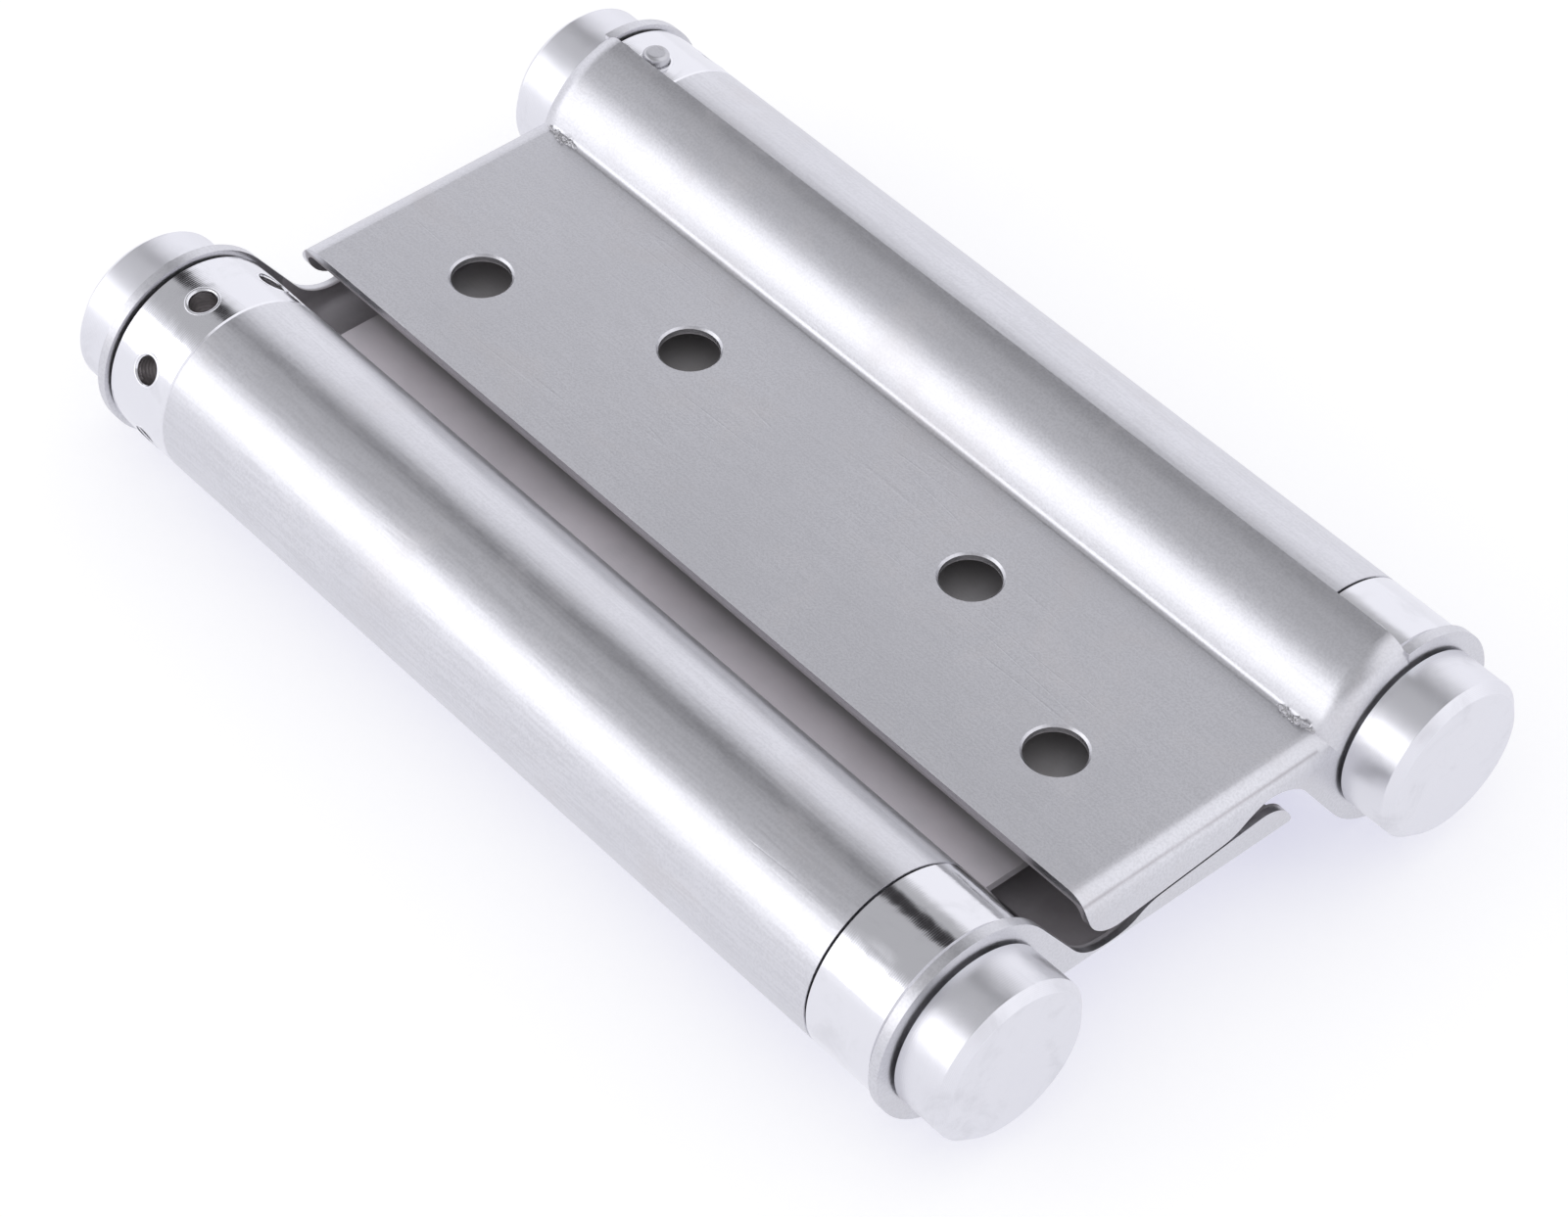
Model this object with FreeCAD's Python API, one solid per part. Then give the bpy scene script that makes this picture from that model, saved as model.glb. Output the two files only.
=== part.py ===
import FreeCAD, Part
import math
import os

# Double action spring hinge, closed and lying flat. Millimetres.
# The barrels run along Y, front end at -Y. The door barrel is at +X and the jamb barrel at -X.
# The origin is the hinge's centre: midway between the barrels, at mid length, in the web's middle plane.
# The jamb side is the door side turned half a turn about Y.

# Overall sizes
OVERALL_LENGTH = 140.0
AXIS_DISTANCE = 61.0

# Leaf, one pressed sheet
LEAF_SHEET = 1.2
LEAF_WIDTH = 45.0
LEAF_HEIGHT = 5.0
BEND_RADIUS = 3.0
INNER_BEND_RADIUS = 1.2
WING_EDGE_ANGLE = 7.0
LEAF_EDGE_GAP = 0.3
FLANGE_SLANT = 5.0
CORNER_RADIUS = 4.5
EYE_RADIUS = 11.6
RELIEF_RADIUS = 6.5
RELIEF_TOP = 2.8
RELIEF_BLEND_RADIUS = 6.0
NECK_ANGLE = 35.5
CREASE_RADIUS = 1.0

# Screw holes, as a zigzag of an outer and an inner pair
SCREW_HOLE_DIAMETER = 6.8
SCREW_HOLE_BREAK = 0.25
OUTER_HOLE_SPACING = 91.5
INNER_HOLE_SPACING = 44.8
OUTER_HOLE_EDGE = 11.7
INNER_HOLE_EDGE = 21.7

# Web and spring tubes, one rolled sheet
WEB_SHEET = 1.0
TUBE_DIAMETER = 22.2
ROLL_BEND_RADIUS = 1.3
SEAM_ANGLE = 6.0

# Spindle and caps
SPINDLE_DIAMETER = 7.0
SPINDLE_END_COVER = 3.5
CAP_DIAMETER = 19.3
CAP_HEAD = 6.6
CAP_CHAMFER = 1.0
CAP_SHOULDER_DIAMETER = 15.0
CAP_SHOULDER = 0.4
CAP_HUB_DIAMETER = 10.0

# Collars at the tube ends
COLLAR_WIDTH = 9.5
COLLAR_CHAMFER = 0.25
SPIGOT_LENGTH = 8.0
BAR_HOLE_DIAMETER = 3.2
BAR_HOLE_COUNT = 7
BAR_HOLE_DEPTH = 5.0
BAR_HOLE_BREAK = 0.25
BAR_HOLE_SETBACK = 4.4
JAMB_COLLAR_LAG = 13.8
KEY_WIDTH = 0.7
KEY_ANGLE = 3.0

# Stop pin
PIN_HEIGHT = 6.2
PIN_DOME = 0.6

# Spring, wound from square wire
SPRING_WIRE = 2.2
SPRING_COIL_DIAMETER = 14.4
SPRING_TURNS = 10
TANG_LENGTH = 5.0

# Thrust washer
WASHER_DIAMETER = 18.0
WASHER_THICKNESS = 0.2

# Clearances
WING_CLEARANCE = 0.3
RUNNING_FIT = 0.05
PRESS_FIT = 0.02
WASHER_CLEARANCE = 0.05
COLLAR_JOINT = 0.1
PIN_STOP_CLEARANCE = 0.3
PIN_FIT = 0.05
TANG_FIT = 0.05
COIL_CLEARANCE = 0.2
KEY_CLEARANCE = 0.3

# Stations along the barrel that follow from the sizes above, counted from mid length
CAP_END = OVERALL_LENGTH / 2
CAP_FACE = CAP_END - CAP_HEAD
LEAF_END = CAP_FACE - CAP_SHOULDER
EYE_INNER_FACE = LEAF_END - LEAF_SHEET
COLLAR_END = EYE_INNER_FACE - WASHER_THICKNESS - 2 * WASHER_CLEARANCE
COLLAR_START = COLLAR_END - COLLAR_WIDTH
TUBE_END = COLLAR_START - COLLAR_JOINT
SPIGOT_END = TUBE_END - SPIGOT_LENGTH
BAR_HOLE_Y = TUBE_END + BAR_HOLE_SETBACK

# Radii and edges that follow
TUBE_RADIUS = TUBE_DIAMETER / 2
TUBE_BORE = TUBE_RADIUS - WEB_SHEET
WING_RADIUS = TUBE_RADIUS + WING_CLEARANCE + LEAF_SHEET
FREE_EDGE = -LEAF_WIDTH
FLANGE_EDGE = LEAF_EDGE_GAP / 2
SPINDLE_RADIUS = SPINDLE_DIAMETER / 2
EYE_HOLE_RADIUS = CAP_HUB_DIAMETER / 2 + RUNNING_FIT
COLLAR_BORE = SPINDLE_RADIUS + RUNNING_FIT
SPIGOT_RADIUS = TUBE_BORE - RUNNING_FIT
BAR_HOLE_RADIUS = BAR_HOLE_DIAMETER / 2
PIN_RADIUS = BAR_HOLE_RADIUS - PIN_FIT
COIL_RADIUS = SPRING_COIL_DIAMETER / 2
TANG_HOLE_RADIUS = SPRING_WIRE * math.sqrt(0.5) + TANG_FIT

X_AXIS = FreeCAD.Vector(1, 0, 0)
Y_AXIS = FreeCAD.Vector(0, 1, 0)
Z_AXIS = FreeCAD.Vector(0, 0, 1)
ORIGIN = FreeCAD.Vector(0, 0, 0)
BEYOND = 4 * LEAF_WIDTH


# Small helpers


def vector(x, y, z):
    return FreeCAD.Vector(x, y, z)


def box(low, high):
    """A box from its lowest to its highest corner."""
    size = vector(*high) - vector(*low)
    return Part.makeBox(size.x, size.y, size.z, vector(*low))


def rod(radius, start, end):
    """A cylinder on the barrel's axis, from one Y to another."""
    return Part.makeCylinder(radius, end - start, vector(0, start, 0), Y_AXIS)


def on_circle(radius, degrees, centre=(0.0, 0.0)):
    """A point of the XZ plane on a circle, with degrees counted from +X towards +Z."""
    angle = math.radians(degrees)
    return vector(centre[0] + radius * math.cos(angle), 0, centre[1] + radius * math.sin(angle))


def arc(radius, start, end, centre=(0.0, 0.0)):
    """An arc in the XZ plane between two angles."""
    middle = (start + end) / 2
    points = [on_circle(radius, angle, centre) for angle in (start, middle, end)]
    return Part.Arc(*points).toShape()


def line(start, end):
    return Part.LineSegment(start, end).toShape()


def prism(edges, start, end):
    """A closed XZ outline carried along Y from start to end."""
    face = Part.Face(Part.Wire(edges))
    face.translate(vector(0, start, 0))
    return face.extrude(vector(0, end - start, 0))


def turned_profile(points):
    """A solid of revolution about the barrel's axis, from (radius, y) corners."""
    corners = [vector(radius, y, 0) for radius, y in points]
    face = Part.Face(Part.makePolygon(corners + corners[:1]))
    return face.revolve(ORIGIN, Y_AXIS, 360)


def mirrored_end(shape):
    """The same piece for the other end of the barrel."""
    return shape.mirror(ORIGIN, Y_AXIS)


def place_door(shape):
    """Move a piece from the barrel's own axis to the door barrel."""
    moved = shape.copy()
    moved.translate(vector(AXIS_DISTANCE / 2, 0, 0))
    return moved


def place_jamb(shape):
    """The door side turned half a turn about Y."""
    moved = place_door(shape)
    moved.rotate(ORIGIN, Y_AXIS, 180)
    return moved


# Leaf


def drawn_plate(height, half_length, corner, left, right, bottom):
    """A block under the plate's surface, with its two long top corners rounded by the end bends."""
    straight = half_length - corner
    low = height - corner
    top = [vector(0, -straight, height), vector(0, straight, height)]
    slope = corner * math.cos(math.radians(45))
    edges = [
        line(vector(0, -half_length, bottom), vector(0, -half_length, low)),
        Part.Arc(
            vector(0, -half_length, low), vector(0, -straight - slope, low + slope), top[0]
        ).toShape(),
        line(top[0], top[1]),
        Part.Arc(top[1], vector(0, straight + slope, low + slope), vector(0, half_length, low)).toShape(),
        line(vector(0, half_length, low), vector(0, half_length, bottom)),
        line(vector(0, half_length, bottom), vector(0, -half_length, bottom)),
    ]
    face = Part.Face(Part.Wire(edges))
    face.translate(vector(left, 0, 0))
    return face.extrude(vector(right - left, 0, 0))


def drawn_barrel(radius, half_length, corner):
    """A cylinder on the barrel's axis with its end edges rounded by the same bends."""
    barrel = rod(radius, -half_length, half_length)
    ends = [edge for edge in barrel.Edges if abs(abs(edge.CenterOfMass.y) - half_length) < 0.01]
    return barrel.makeFillet(corner, ends)


def relief_centre():
    """Centre of the relief arc, whose top height is given and which ends on the neck's straight edge."""
    z = RELIEF_TOP - RELIEF_RADIUS
    touch = math.radians(NECK_ANGLE)
    x = -(EYE_RADIUS + RELIEF_RADIUS + z * math.sin(touch)) / math.cos(touch)
    return x, z


def flange_outline():
    """Outline that trims the leaf from below: slanted free edge, relief, neck, then round the eye."""
    along = on_circle(1, FLANGE_SLANT)
    across = on_circle(1, FLANGE_SLANT + 90)
    middle = vector(-AXIS_DISTANCE / 2, 0, FLANGE_EDGE)
    corner_run = FREE_EDGE + CORNER_RADIUS - middle.x - across.x * CORNER_RADIUS
    corner = middle + along * (corner_run / along.x) + across * CORNER_RADIUS
    centre = relief_centre()
    offset = vector(centre[0], 0, centre[1]) - middle
    reach = RELIEF_RADIUS + RELIEF_BLEND_RADIUS
    rise = offset.dot(across) - RELIEF_BLEND_RADIUS
    blend = middle + along * (offset.dot(along) - math.sqrt(reach**2 - rise**2)) + across * RELIEF_BLEND_RADIUS
    turn = math.degrees(math.atan2(centre[1] - blend.z, centre[0] - blend.x))
    lowest = 270 + FLANGE_SLANT
    blend_point = (blend.x, blend.z)
    corner_point = (corner.x, corner.z)
    wing_edge = 90 + WING_EDGE_ANGLE
    top_left = vector(FREE_EDGE, 0, LEAF_HEIGHT + WING_RADIUS)
    beyond_wing = on_circle(LEAF_HEIGHT + WING_RADIUS, wing_edge)
    return [
        line(top_left, on_circle(CORNER_RADIUS, 180, corner_point)),
        arc(CORNER_RADIUS, 180, lowest, corner_point),
        line(
            on_circle(CORNER_RADIUS, lowest, corner_point),
            on_circle(RELIEF_BLEND_RADIUS, lowest, blend_point),
        ),
        arc(RELIEF_BLEND_RADIUS, lowest, 360 + turn, blend_point),
        arc(RELIEF_RADIUS, 180 + turn, NECK_ANGLE, centre),
        line(on_circle(RELIEF_RADIUS, NECK_ANGLE, centre), on_circle(EYE_RADIUS, 180 + NECK_ANGLE)),
        arc(EYE_RADIUS, 180 + NECK_ANGLE, 360 + wing_edge),
        line(on_circle(EYE_RADIUS, wing_edge), beyond_wing),
        line(beyond_wing, top_left),
    ]


def past_wing(half_length):
    """Everything past the wing's free edge, over a length of the barrel."""
    edge = 90 + WING_EDGE_ANGLE
    outline = [
        line(ORIGIN, on_circle(BEYOND, edge)),
        arc(BEYOND, edge, edge - 180),
        line(on_circle(BEYOND, edge - 180), ORIGIN),
    ]
    return prism(outline, -half_length, half_length)


def crease_fillet():
    """Small fillet along the crease where the wing rises from the plate."""
    reach = WING_RADIUS + CREASE_RADIUS
    height = LEAF_HEIGHT + CREASE_RADIUS
    centre = (-math.sqrt(reach**2 - height**2), height)
    meet = math.degrees(math.atan2(height, -centre[0]))
    inside = WING_RADIUS - LEAF_SHEET / 2
    root = vector(on_circle(inside, 180 - meet).x, 0, LEAF_HEIGHT - LEAF_SHEET / 2)
    outline = [
        line(root, on_circle(CREASE_RADIUS, 270, centre)),
        arc(CREASE_RADIUS, 270, 360 - meet, centre),
        line(on_circle(CREASE_RADIUS, 360 - meet, centre), root),
    ]
    straight = LEAF_END - BEND_RADIUS
    return prism(outline, -straight, straight)


def screw_holes():
    """Four through holes with a fine break on both edges."""
    radius = SCREW_HOLE_DIAMETER / 2
    bottom = LEAF_HEIGHT - LEAF_SHEET
    section = [
        (0, bottom - 1),
        (radius + 1 + SCREW_HOLE_BREAK, bottom - 1),
        (radius, bottom + SCREW_HOLE_BREAK),
        (radius, LEAF_HEIGHT - SCREW_HOLE_BREAK),
        (radius + 1 + SCREW_HOLE_BREAK, LEAF_HEIGHT + 1),
        (0, LEAF_HEIGHT + 1),
    ]
    corners = [vector(r, 0, z) for r, z in section]
    hole = Part.Face(Part.makePolygon(corners + corners[:1])).revolve(ORIGIN, Z_AXIS, 360)
    holes = []
    for spacing, edge in ((OUTER_HOLE_SPACING, OUTER_HOLE_EDGE), (INNER_HOLE_SPACING, INNER_HOLE_EDGE)):
        for y in (-spacing / 2, spacing / 2):
            copy = hole.copy()
            copy.translate(vector(FREE_EDGE + edge, y, 0))
            holes.append(copy)
    return holes


def leaf():
    """Plate, wing, end flanges and eyes, pressed from one sheet."""
    ring_overlap = on_circle(WING_RADIUS, WING_EDGE_ANGLE - 90).x
    outside = drawn_plate(LEAF_HEIGHT, LEAF_END, BEND_RADIUS, FREE_EDGE, ring_overlap, -WING_RADIUS)
    ends = past_wing(LEAF_END)
    outside = outside.fuse(drawn_barrel(WING_RADIUS, LEAF_END, BEND_RADIUS).cut(ends))
    outside = outside.fuse(rod(EYE_RADIUS, -LEAF_END, LEAF_END).common(ends))
    outside = outside.fuse(crease_fillet())
    outside = outside.common(prism(flange_outline(), -LEAF_END, LEAF_END))
    inside = drawn_plate(
        LEAF_HEIGHT - LEAF_SHEET, EYE_INNER_FACE, INNER_BEND_RADIUS, -BEYOND, BEYOND, -BEYOND
    )
    inside = inside.fuse(drawn_barrel(WING_RADIUS - LEAF_SHEET, EYE_INNER_FACE, INNER_BEND_RADIUS))
    eye = rod(EYE_HOLE_RADIUS, -LEAF_END - 1, LEAF_END + 1)
    cuts = [inside, past_wing(EYE_INNER_FACE), eye] + screw_holes()
    return outside.cut(cuts).removeSplitter()


# Web and tubes


def rolled_edge():
    """Upper and lower outlines of the web's rolled edge, round the door barrel's axis."""
    middle_bend = ROLL_BEND_RADIUS + WEB_SHEET / 2
    middle_roll = TUBE_RADIUS - WEB_SHEET / 2
    centre = (-math.sqrt((middle_roll + middle_bend) ** 2 - middle_bend**2), middle_bend)
    meet = math.degrees(math.asin(middle_bend / (middle_roll + middle_bend)))
    roll_end = 180 - meet
    seam = SEAM_ANGLE - 180
    outer_bend = ROLL_BEND_RADIUS
    inner_bend = ROLL_BEND_RADIUS + WEB_SHEET
    edges = [
        arc(outer_bend, -90, -meet, centre),
        arc(TUBE_RADIUS, roll_end, seam),
        line(on_circle(TUBE_RADIUS, seam), on_circle(TUBE_BORE, seam)),
        arc(TUBE_BORE, seam, roll_end),
        arc(inner_bend, -meet, -90, centre),
    ]
    return edges, on_circle(outer_bend, -90, centre), on_circle(inner_bend, -90, centre)


def centre_web():
    """One sheet with a tube rolled at each edge, the two rolls turned opposite ways."""
    edges, top, bottom = rolled_edge()
    shift = vector(AXIS_DISTANCE / 2, 0, 0)
    door_edges = [place_door(edge) for edge in edges]
    jamb_edges = [place_jamb(edge) for edge in edges]
    top = top + shift
    bottom = bottom + shift
    joins = [
        line(top, vector(-bottom.x, 0, -bottom.z)),
        line(bottom, vector(-top.x, 0, -top.z)),
    ]
    outline = Part.__sortEdges__(door_edges + jamb_edges + joins)
    return prism(outline, -TUBE_END, TUBE_END)


# Spindle, caps and washers


def spindle():
    end = CAP_END - SPINDLE_END_COVER
    return rod(SPINDLE_RADIUS, -end, end)


def cap():
    """Rear cap: round head, low shoulder on the eye, hub through the eye, blind bore for the spindle."""
    head = CAP_DIAMETER / 2
    hub = CAP_HUB_DIAMETER / 2
    shoulder = CAP_SHOULDER_DIAMETER / 2
    bore = SPINDLE_RADIUS + PRESS_FIT
    bore_end = CAP_END - SPINDLE_END_COVER + PRESS_FIT
    return turned_profile(
        [
            (bore, EYE_INNER_FACE),
            (hub, EYE_INNER_FACE),
            (hub, LEAF_END),
            (shoulder, LEAF_END),
            (shoulder, CAP_FACE),
            (head, CAP_FACE),
            (head, CAP_END - CAP_CHAMFER),
            (head - CAP_CHAMFER, CAP_END),
            (0, CAP_END),
            (0, bore_end),
            (bore, bore_end),
        ]
    )


def thrust_washer():
    """Rear washer between the eye and the collar."""
    start = COLLAR_END + WASHER_CLEARANCE
    ring = rod(WASHER_DIAMETER / 2, start, start + WASHER_THICKNESS)
    return ring.cut(rod(COLLAR_BORE, start - 1, start + 1))


# Collars, pins and springs


def collar_blank():
    """Rear collar: a ring as wide as the tube, with a spigot that enters it."""
    rim = TUBE_RADIUS - COLLAR_CHAMFER
    blank = turned_profile(
        [
            (COLLAR_BORE, SPIGOT_END),
            (SPIGOT_RADIUS - COLLAR_CHAMFER, SPIGOT_END),
            (SPIGOT_RADIUS, SPIGOT_END + COLLAR_CHAMFER),
            (SPIGOT_RADIUS, COLLAR_START),
            (rim, COLLAR_START),
            (TUBE_RADIUS, COLLAR_START + COLLAR_CHAMFER),
            (TUBE_RADIUS, COLLAR_END - COLLAR_CHAMFER),
            (rim, COLLAR_END),
            (COLLAR_BORE, COLLAR_END),
        ]
    )
    hole = rod(TANG_HOLE_RADIUS, SPIGOT_END - 1, SPIGOT_END + TANG_LENGTH + TANG_FIT)
    hole.translate(vector(COIL_RADIUS, 0, 0))
    return blank.cut(hole)


def stop_angle():
    """Angle from the wing's edge to the pin that bears on it."""
    reach = WING_RADIUS - LEAF_SHEET
    return math.degrees(math.asin((PIN_RADIUS + PIN_STOP_CLEARANCE) / reach))


def pin_angle(lag):
    """Angle of the pin's hole, from +X towards +Z."""
    return 90 + WING_EDGE_ANGLE - stop_angle() - lag


def radial(shape, degrees):
    """Turn a piece that stands along +X at the bar holes' station to its angle round the barrel."""
    moved = shape.copy()
    moved.translate(vector(0, BAR_HOLE_Y, 0))
    moved.rotate(ORIGIN, Y_AXIS, -degrees)
    return moved


def bar_hole():
    """Blind radial hole with a broken edge."""
    bottom = TUBE_RADIUS - BAR_HOLE_DEPTH
    drill = Part.makeCylinder(BAR_HOLE_RADIUS, BAR_HOLE_DEPTH + 1, vector(bottom, 0, 0), X_AXIS)
    flare = BAR_HOLE_RADIUS + BAR_HOLE_BREAK
    sink = Part.makeCone(
        BAR_HOLE_RADIUS, flare + 1, BAR_HOLE_BREAK + 1, vector(TUBE_RADIUS - BAR_HOLE_BREAK, 0, 0), X_AXIS
    )
    return drill.fuse(sink)


def tension_collar(lag):
    """Collar with bar holes, one of them under the stop pin."""
    hole = bar_hole()
    first = pin_angle(lag)
    step = 360 / BAR_HOLE_COUNT
    holes = [radial(hole, first + step * number) for number in range(BAR_HOLE_COUNT)]
    return collar_blank().cut(holes)


def stop_pin(lag):
    """Pin that stands in a bar hole and stops the collar on the wing's edge."""
    bottom = TUBE_RADIUS - BAR_HOLE_DEPTH + PIN_FIT
    pin = Part.makeCylinder(PIN_RADIUS, PIN_HEIGHT, vector(bottom, 0, 0), X_AXIS)
    crown = [edge for edge in pin.Edges if edge.CenterOfMass.x > bottom + PIN_HEIGHT - 0.01]
    return radial(pin.makeFillet(PIN_DOME, crown), pin_angle(lag))


def anchor_collar():
    """Plain front collar, kept from turning by a key in the tube's seam."""
    blank = mirrored_end(collar_blank())
    inner = SPIGOT_RADIUS - 1
    outer = TUBE_RADIUS - KEY_CLEARANCE
    key = box((-outer, -TUBE_END, -KEY_WIDTH / 2), (-inner, -SPIGOT_END, KEY_WIDTH / 2))
    key.rotate(ORIGIN, Y_AXIS, -KEY_ANGLE)
    return blank.fuse(key).removeSplitter()


def spring():
    """Torsion spring: a coil with a straight tang at each end, each in its collar's hole."""
    half = SPRING_WIRE / 2
    reach = SPIGOT_END - half - COIL_CLEARANCE
    height = 2 * reach
    helix = Part.makeHelix(height / SPRING_TURNS, height, COIL_RADIUS)
    helix.rotate(ORIGIN, X_AXIS, -90)
    helix.translate(vector(0, -reach, 0))
    inner = COIL_RADIUS - half
    outer = COIL_RADIUS + half
    low = -reach - half
    high = -reach + half
    corners = [vector(inner, low, 0), vector(outer, low, 0), vector(outer, high, 0), vector(inner, high, 0)]
    section = Part.makePolygon(corners + corners[:1])
    coil = Part.Wire(helix.Edges).makePipeShell([section], True, True)
    tang = box((inner, reach - half, -half), (outer, SPIGOT_END + TANG_LENGTH, half))
    return coil.fuse([tang, mirrored_end(tang)])


def door_side():
    """Pieces of one barrel on its own axis, by name."""
    return {
        "leaf": leaf(),
        "spindle": spindle(),
        "rear_cap": cap(),
        "front_cap": mirrored_end(cap()),
        "rear_washer": thrust_washer(),
        "front_washer": mirrored_end(thrust_washer()),
        "anchor_collar": anchor_collar(),
        "spring": spring(),
    }


def main():
    pieces = {"centre_web": centre_web()}
    for name, shape in door_side().items():
        pieces["door_" + name] = place_door(shape)
        pieces["jamb_" + name] = place_jamb(shape)
    pieces["door_tension_collar"] = place_door(tension_collar(0))
    pieces["door_stop_pin"] = place_door(stop_pin(0))
    pieces["jamb_tension_collar"] = place_jamb(tension_collar(JAMB_COLLAR_LAG))
    pieces["jamb_stop_pin"] = place_jamb(stop_pin(JAMB_COLLAR_LAG))
    os.makedirs("parts", exist_ok=True)
    for name, shape in pieces.items():
        solids = shape.Solids
        bounds = shape.BoundBox
        print(name, len(solids), shape.isValid(), round(shape.Volume, 1), bounds)
        shape.exportStep("parts/" + name + ".step")


main()
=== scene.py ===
# %% [markdown]
# # A double action cafe hinge
#
# The hinge is two spring barrels joined by one rolled sheet, each with a pressed leaf that folds over the
# other. Its solids come from the CAD frame and keep their shape. This lesson gives each of them its finish,
# adds the few small forms that pressing and turning leave behind, and sets up the studio that the metal
# reflects.

# %% Load the frame
import math

import bmesh
import bpy
import numpy as np
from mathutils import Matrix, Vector


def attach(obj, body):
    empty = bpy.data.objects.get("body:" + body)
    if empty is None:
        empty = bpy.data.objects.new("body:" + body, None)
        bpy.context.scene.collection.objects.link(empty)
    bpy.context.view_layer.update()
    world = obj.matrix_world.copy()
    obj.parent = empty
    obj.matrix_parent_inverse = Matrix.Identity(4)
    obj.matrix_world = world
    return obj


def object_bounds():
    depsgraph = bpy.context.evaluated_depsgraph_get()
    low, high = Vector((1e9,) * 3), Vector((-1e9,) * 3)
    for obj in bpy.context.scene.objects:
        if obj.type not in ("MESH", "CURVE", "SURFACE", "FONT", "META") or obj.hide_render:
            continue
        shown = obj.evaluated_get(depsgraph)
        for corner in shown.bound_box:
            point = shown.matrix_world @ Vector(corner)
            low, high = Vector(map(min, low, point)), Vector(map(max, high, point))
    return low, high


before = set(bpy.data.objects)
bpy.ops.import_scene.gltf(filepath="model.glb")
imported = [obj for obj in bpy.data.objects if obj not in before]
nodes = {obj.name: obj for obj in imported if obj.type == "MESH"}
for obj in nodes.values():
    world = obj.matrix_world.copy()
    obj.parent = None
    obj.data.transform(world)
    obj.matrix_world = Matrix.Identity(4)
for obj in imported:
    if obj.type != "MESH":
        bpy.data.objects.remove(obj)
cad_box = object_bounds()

# %% [markdown]
# ## The camera
#
# The photograph looks down on the closed hinge from the front left, at about 45 degrees, through a long
# lens. A place and a turn found by lining up the caps, the leaf's corners and the screw holes keep every
# edge where it shows there. A long lens far away is what keeps the two barrels nearly parallel in the
# picture.

# %% Place the camera
CAMERA_PLACE = (-0.25131, -0.27221, 0.36767)
CAMERA_TURN = (0.771779, -0.029491, -0.718949)
LENS = 113.42

camera_data = bpy.data.cameras.new("camera")
camera_data.lens = LENS
camera_data.sensor_width = 36.0
camera_data.clip_start = 0.01
camera_data.clip_end = 20.0
camera = bpy.data.objects.new("camera", camera_data)
camera.location = CAMERA_PLACE
camera.rotation_euler = CAMERA_TURN
bpy.context.scene.collection.objects.link(camera)
bpy.context.scene.camera = camera
bpy.context.scene.view_settings.view_transform = "Standard"
print("camera:", round(Vector(CAMERA_PLACE).length, 3), "m from the hinge, lens", LENS)


# %% [markdown]
# ## Working with shader nodes
#
# A finish is a small tree of nodes. A few short helpers keep the trees easy to read. The first adds a node
# and fills in its sockets. The next six do a sum, add a share of an effect, measure a distance, make a soft
# step, mix two colours and draw a cloudy noise. The last two start a group, which is an effect that several
# finishes can share, and place it in a finish.

# %% Helpers for node trees
def add(tree, kind, inputs=None, **settings):
    """Add one node, set its properties from the keyword arguments, and link or set each of its inputs."""
    node = tree.nodes.new("ShaderNode" + kind)
    for name, value in settings.items():
        setattr(node, name, value)
    for name, value in (inputs or {}).items():
        if isinstance(value, bpy.types.NodeSocket):
            tree.links.new(value, node.inputs[name])
        else:
            node.inputs[name].default_value = value
    return node


def maths(tree, operation, first, second=0.0, clamp=False):
    """One sum on two values, each a number or a socket. Returns the result's socket."""
    return add(tree, "Math", {0: first, 1: second}, operation=operation, use_clamp=clamp).outputs[0]


def add_share(tree, total, effect, share):
    """Total plus share times effect. Returns the result's socket."""
    return maths(tree, "ADD", total, maths(tree, "MULTIPLY", effect, share))


def distance_of(tree, first, second):
    """The square root of first squared plus second squared. Returns the result's socket."""
    squares = maths(tree, "ADD", maths(tree, "POWER", first, 2.0), maths(tree, "POWER", second, 2.0))
    return maths(tree, "SQRT", squares)


def smooth_range(tree, value, low, high, to_low=0.0, to_high=1.0):
    """Turn a value into a soft step: to_low below low, to_high above high, an S-curve between."""
    inputs = {"Value": value, "From Min": low, "From Max": high, "To Min": to_low, "To Max": to_high}
    return add(tree, "MapRange", inputs, interpolation_type="SMOOTHSTEP").outputs[0]


def blend_colour(tree, share, first, second):
    """Mix two colours: the first where share is 0, the second where it is 1. Returns the result's socket."""
    node = add(tree, "Mix", {"Factor": share, "A": first, "B": second}, data_type="RGBA")
    return node.outputs["Result"]


def noise(tree, position, scale, detail=2.0, roughness=0.5, distortion=0.0):
    """A cloudy noise between 0 and 1, with features one over scale wide. Returns the result's socket."""
    inputs = {"Vector": position, "Scale": scale, "Detail": detail}
    inputs.update({"Roughness": roughness, "Distortion": distortion})
    return add(tree, "TexNoise", inputs).outputs["Fac"]


def new_group(name, inputs, outputs):
    """Start a node group. An input is (name, kind, value or None), an output (name, kind)."""
    group = bpy.data.node_groups.new(name, "ShaderNodeTree")
    for label, kind, value in inputs:
        socket = group.interface.new_socket(label, in_out="INPUT", socket_type="NodeSocket" + kind)
        if value is not None:
            socket.default_value = value
    for label, kind in outputs:
        group.interface.new_socket(label, in_out="OUTPUT", socket_type="NodeSocket" + kind)
    return group, group.nodes.new("NodeGroupInput"), group.nodes.new("NodeGroupOutput")


def place_group(tree, group, inputs):
    """Put a shared group into a material with this finish's own values."""
    return add(tree, "Group", inputs, node_tree=group)


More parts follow.
